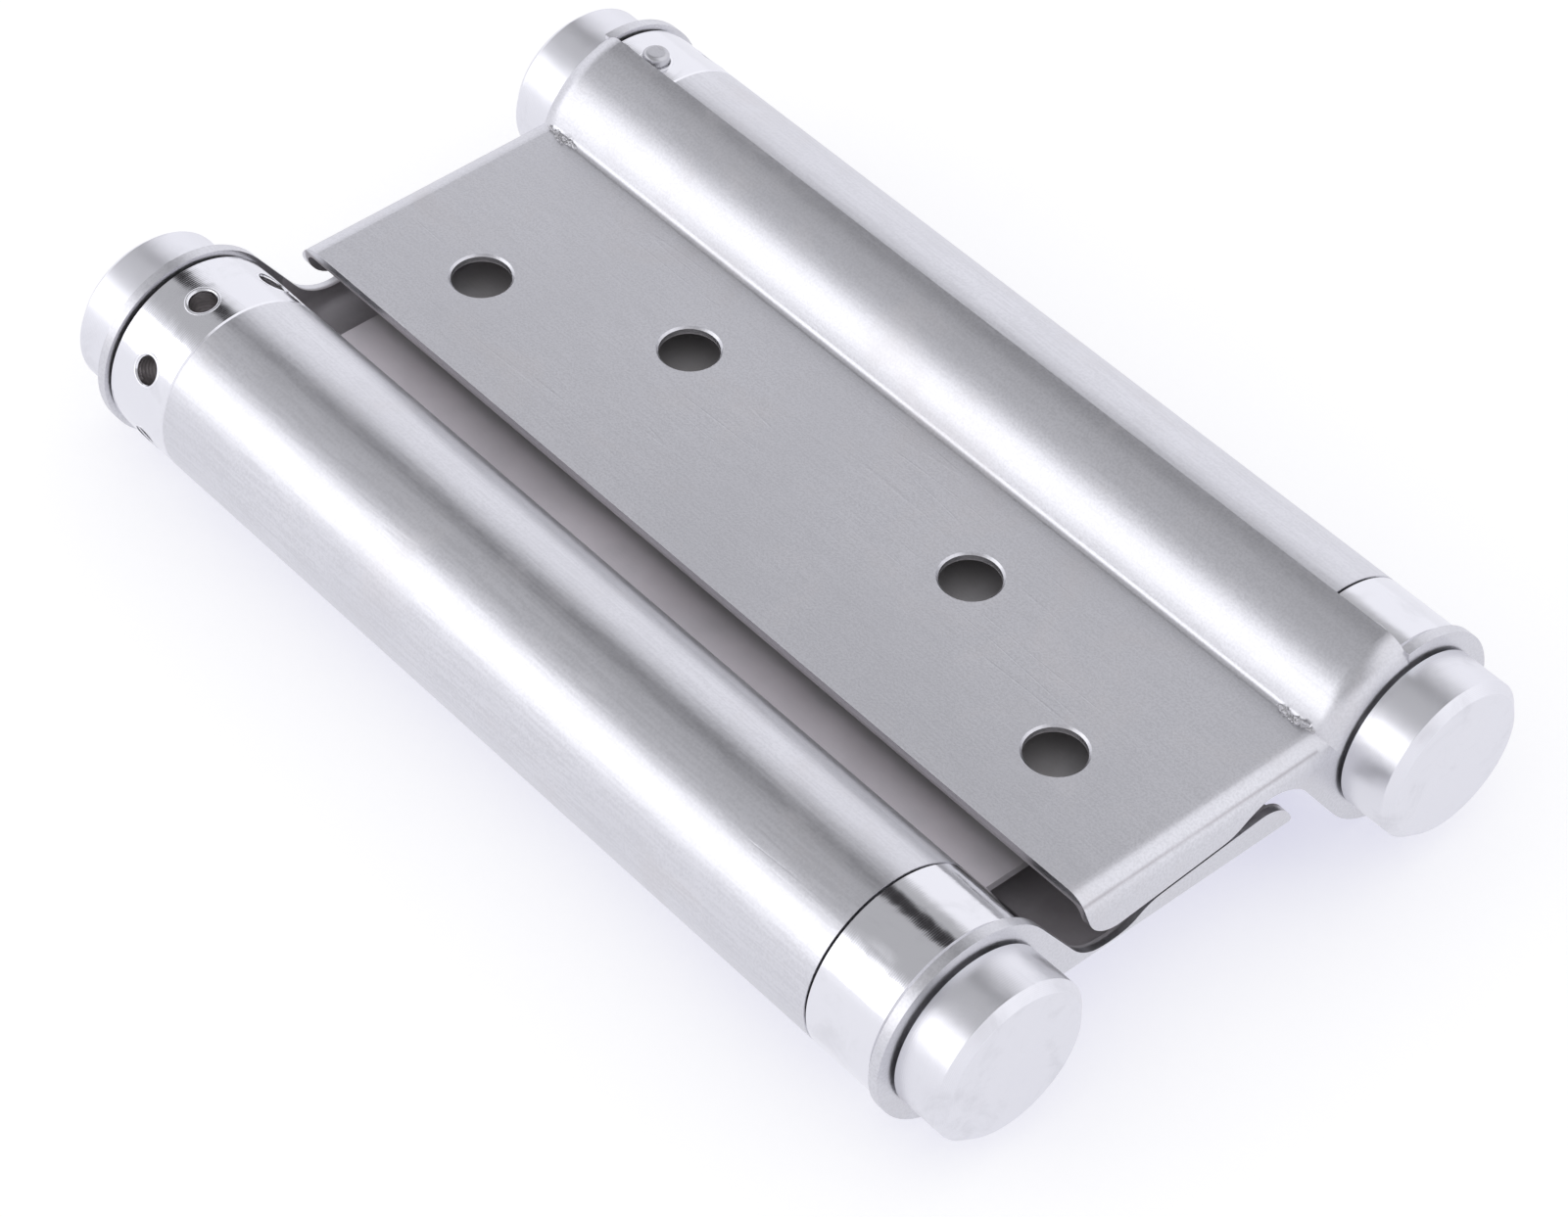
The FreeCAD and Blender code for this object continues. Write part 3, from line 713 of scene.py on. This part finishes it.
# %% [markdown]
# ## New pieces: one way to build them
#
# What is left is too small for the solids: the lip that a drill raises round each bar hole, and the folds
# that the press pinches up where a crease runs into an end bend. Both are rings of points carried along a
# line. One helper turns such an array into a mesh, closing it into a loop or drawing each end to a point.

# %% Turn rings of points into a mesh
def round_angles(count):
    """Angles all the way round, evenly spaced, without the last one that would repeat the first."""
    return np.linspace(0, 2 * np.pi, count, endpoint=False)


def ringed_mesh(name, rings, looped):
    """Rings is an array (along, around, 3). Quads join neighbours, and an open end closes on its middle."""
    along, around = rings.shape[:2]
    points = rings.reshape(-1, 3)
    row = np.arange(along if looped else along - 1)[:, None]
    column = np.arange(around)[None, :]
    here, ahead = row * around, ((row + 1) % along) * around
    beside = (column + 1) % around
    quads = np.stack([here + column, here + beside, ahead + beside, ahead + column], axis=-1).reshape(-1, 4)
    faces = quads.tolist()
    if not looped:
        points = np.concatenate([points, rings[[0, -1]].mean(axis=1)])
        near, far = column[0], beside[0]
        last = (along - 1) * around
        first_tip = np.full(around, along * around)
        first_fan = np.stack([first_tip, near, far], axis=-1)
        last_fan = np.stack([first_tip + 1, last + far, last + near], axis=-1)
        faces += first_fan.tolist() + last_fan.tolist()
    mesh = bpy.data.meshes.new(name)
    mesh.from_pydata(points.tolist(), [], faces)
    mesh.shade_smooth()
    return mesh


def add_piece(name, meshes, body, material):
    """Join meshes into one piece with outward faces, give it a finish, and ride it on a body."""
    joined = bmesh.new()
    for mesh in meshes:
        joined.from_mesh(mesh)
        bpy.data.meshes.remove(mesh)
    bmesh.ops.recalc_face_normals(joined, faces=joined.faces)
    mesh = bpy.data.meshes.new(name)
    joined.to_mesh(mesh)
    joined.free()
    mesh.materials.append(material)
    piece = bpy.data.objects.new(name, mesh)
    bpy.context.scene.collection.objects.link(piece)
    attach(piece, body)
    print(name, len(mesh.polygons), "faces on", body)
    return piece


def half_turned(points):
    """The jamb side is the door side turned half a turn about Y: x and z change sign."""
    return points * np.array([-1.0, 1.0, -1.0])


# %% [markdown]
# ## The lips of the bar holes
#
# In the photograph each bar hole has a thin bright rim. The drill pushes up a lip, and plating rounds it.
# The lip is a thin ring bent over the collar, so its points are worked out in the hole's own circle first
# and then laid on the barrel: the further a point is to the side of the hole, the deeper the barrel's skin
# lies under it.

# %% Raise the lips
LIP_PLATING = (0.90, 0.90, 0.92, 1.0)
lip_finish = bright_plating("bright plating, lips", LIP_PLATING, 0.16, 0.20, 0.0)

BAR_HOLE_Y = 56.3 * MM
BAR_HOLE_COUNT = 7
FIRST_HOLE = {"door": 87.66, "jamb": 73.86}
COLLAR_RADIUS = 11.1 * MM
LIP_RADIUS = 1.86 * MM
LIP_HALF_WIDTH = 0.17 * MM
LIP_HEIGHT = 0.05 * MM
LIP_UNEVEN = 0.25
LIP_STEPS = 56
LIP_CORNERS = 10


def hole_lip(angle):
    """Sideways s = r cos t, along Y r sin t, and outwards the root of R squared - s squared plus the lip."""
    turn, profile = np.meshgrid(round_angles(LIP_STEPS), round_angles(LIP_CORNERS), indexing="ij")
    radius = LIP_RADIUS + LIP_HALF_WIDTH * np.cos(profile)
    side, along = radius * np.cos(turn), radius * np.sin(turn)
    uneven = 1 + LIP_UNEVEN * np.sin(3 * turn + angle)
    out = np.sqrt(COLLAR_RADIUS**2 - side**2) + LIP_HEIGHT * np.sin(profile) * uneven
    x = AXIS_X + out * np.cos(angle) - side * np.sin(angle)
    z = out * np.sin(angle) + side * np.cos(angle)
    return np.stack([x, BAR_HOLE_Y + along, z], axis=-1)


for side in SIDES:
    angles = np.radians(FIRST_HOLE[side] + 360 / BAR_HOLE_COUNT * np.arange(BAR_HOLE_COUNT))
    lips = [hole_lip(angle) for angle in angles]
    if side == "jamb":
        lips = [half_turned(lip) for lip in lips]
    meshes = [ringed_mesh("lip", lip, True) for lip in lips]
    add_piece(side + "_hole_lips", meshes, side + "_tension", lip_finish)

# %% [markdown]
# ## The pinched folds
#
# Where the crease meets the end bend the sheet has nowhere to go, so the press pinches up a ragged fold a
# few millimetres long. A smaller one marks each end of the wing's free edge. A fold is a short ridge: a
# closed profile carried along a line, high in the middle, drawn to a point at both ends, and ruffled by
# smoothed random numbers, which are seeded so that the fold is the same each time.

# %% Pinch up the folds
FOLD_TIP = 0.012
FOLD_ROOT = 0.12
FOLD_STEEL = (0.74, 0.735, 0.75, 1.0)
NO_BLOCK = (0.0, 0.0)
FOLD_STEPS = 60
FOLD_CORNERS = 20
RUFFLE_CALM = 1.9
RUFFLE_SHARE = 0.55
LUMP_LIMITS = (0.05, 2.0)
REAR_PHASE = 1.9
MIRRORED = np.array([1.0, -1.0, 1.0])


def pinched_fold(start, end, across, out, half_width, height, phase):
    """Centre + across w cos a + out h sin a, both times the root of sin(pi u). Seeded noise ruffles h."""
    lengths = (start, end, across, out)
    start, end, across, out = (np.array(length, float) * MM for length in lengths)
    along_fold = np.linspace(FOLD_TIP, 1 - FOLD_TIP, FOLD_STEPS)
    u, a = np.meshgrid(along_fold, round_angles(FOLD_CORNERS), indexing="ij")
    swell = np.sqrt(np.sin(np.pi * u))
    ruffle = np.random.default_rng(int(10 * phase)).normal(0, 1, u.shape)
    for shift in (1, 2):
        ruffle = (ruffle + np.roll(ruffle, shift, axis=0) + np.roll(ruffle, shift, axis=1)) / RUFFLE_CALM
    lumps = np.clip(0.8 + 0.35 * np.sin(11 * u + phase) + RUFFLE_SHARE * ruffle, *LUMP_LIMITS)
    sway = 0.35 * np.sin(8 * u + 3 * phase) + 0.12 * np.sin(29 * u)
    wide = half_width * swell * (np.cos(a) + sway)
    high = np.where(np.sin(a) > 0, height * lumps * swell, FOLD_ROOT) * np.sin(a)
    centre = start + u[..., None] * (end - start)
    return centre + wide[..., None] * across + high[..., None] * out


def ridge_of(start, end, across, out, half_width, height, phase):
    """The same fold at both ends of the leaf: the second is the mirror image in Y, with another phase."""
    front = pinched_fold(start, end, across, out, half_width, height, phase)
    rear = pinched_fold(start, end, across, out, half_width, height, phase + REAR_PHASE)
    return [front, rear * MIRRORED]


fold_finish = satin_stainless(
    "satin stainless, folds", FOLD_STEEL, 0.34, 0.00012, 0.1, NO_BLOCK, SHADED_LEAF_FILM, SHADED_LEAF_FILM
)
crease_folds = ridge_of(
    (18.70, -55.4, 5.02), (18.85, -60.7, 5.00), (0.84, 0.0, 0.54), (-0.54, 0.0, 0.84),
    half_width=0.52, height=0.50, phase=0.4,
)
edge_folds = ridge_of(
    (28.97, -57.4, 12.37), (28.97, -60.3, 12.33), (0.99, 0.0, 0.12), (-0.12, 0.0, 0.99),
    half_width=0.20, height=0.05, phase=1.3,
)
for side in SIDES:
    folds = crease_folds + edge_folds
    if side == "jamb":
        folds = [half_turned(fold) for fold in folds]
    meshes = [ringed_mesh("fold", fold, False) for fold in folds]
    add_piece(side + "_pinched_folds", meshes, side, fold_finish)
